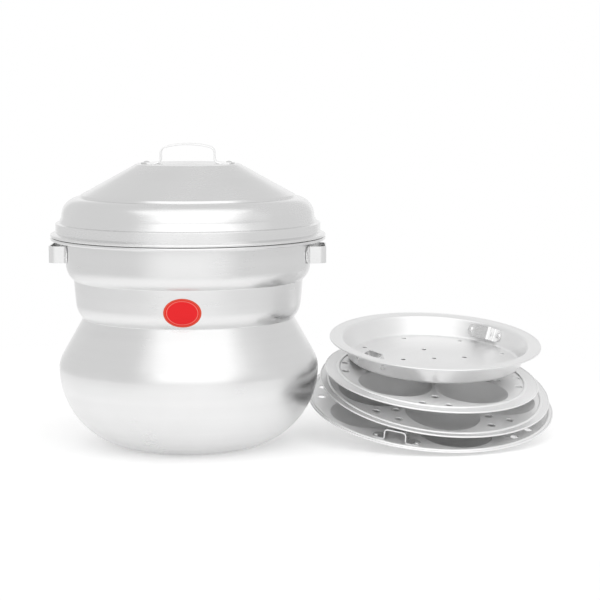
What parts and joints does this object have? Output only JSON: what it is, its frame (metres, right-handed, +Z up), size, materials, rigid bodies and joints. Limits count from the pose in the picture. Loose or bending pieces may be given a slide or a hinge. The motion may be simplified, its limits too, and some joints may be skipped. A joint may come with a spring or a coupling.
{
  "type": "idli steamer",
  "caption": "Waisted aluminium steaming pot with a stepped neck, a domed lid, and a loose stack of cupped rice-cake trays under a perforated flat pan.",
  "frame": {"origin": "centre of the pot's flat base", "axes": "+Z up along the pot's axis, -Y towards the label, +X towards the stack of trays"},
  "size_m": [0.5475, 0.3341, 0.3245],
  "materials": {
    "pot_metal": "spun aluminium, satin, with fine turning marks",
    "lid_metal": "spun aluminium, satin",
    "tray_metal": "pressed aluminium sheet, satin",
    "straps": "bent aluminium strap, bright",
    "rivets": "domed aluminium rivets, bright",
    "label": "plain printed oval, red with an orange rim"
  },
  "bodies": {
    "pot": {"pot_shell": "pot_metal", "lug_left": "straps", "lug_right": "straps", "lug_left_rivets": "rivets", "lug_right_rivets": "rivets", "label": "label"},
    "lid": {"lid_shell": "lid_metal", "lid_handle": "straps", "lid_handle_rivets": "rivets"},
    "large": {"large_tray": "tray_metal", "large_handle_front": "straps", "large_handle_back": "straps", "large_front_rivets": "rivets", "large_back_rivets": "rivets"},
    "medium": {"medium_tray": "tray_metal"},
    "small": {"small_tray": "tray_metal"},
    "pan": {"pan_shell": "tray_metal", "pan_handle_front": "straps", "pan_handle_back": "straps", "pan_front_rivets": "rivets", "pan_back_rivets": "rivets"}
  },
  "joints": [
    {"name": "lid_lift", "type": "slide", "parent": "pot", "child": "lid", "axis": [0, 0, 1], "range_m": [0, 0.15]},
    {"name": "large_lift", "type": "slide", "parent": "pot", "child": "large", "axis": [0.2536, 0.0515, 0.9659], "range_m": [0, 0.05]},
    {"name": "medium_lift", "type": "slide", "parent": "large", "child": "medium", "axis": [0, 0, 1], "range_m": [0, 0.06]},
    {"name": "small_lift", "type": "slide", "parent": "medium", "child": "small", "axis": [0, 0, 1], "range_m": [0, 0.06]},
    {"name": "pan_lift", "type": "slide", "parent": "small", "child": "pan", "axis": [0, 0, 1], "range_m": [0, 0.08]}
  ]
}
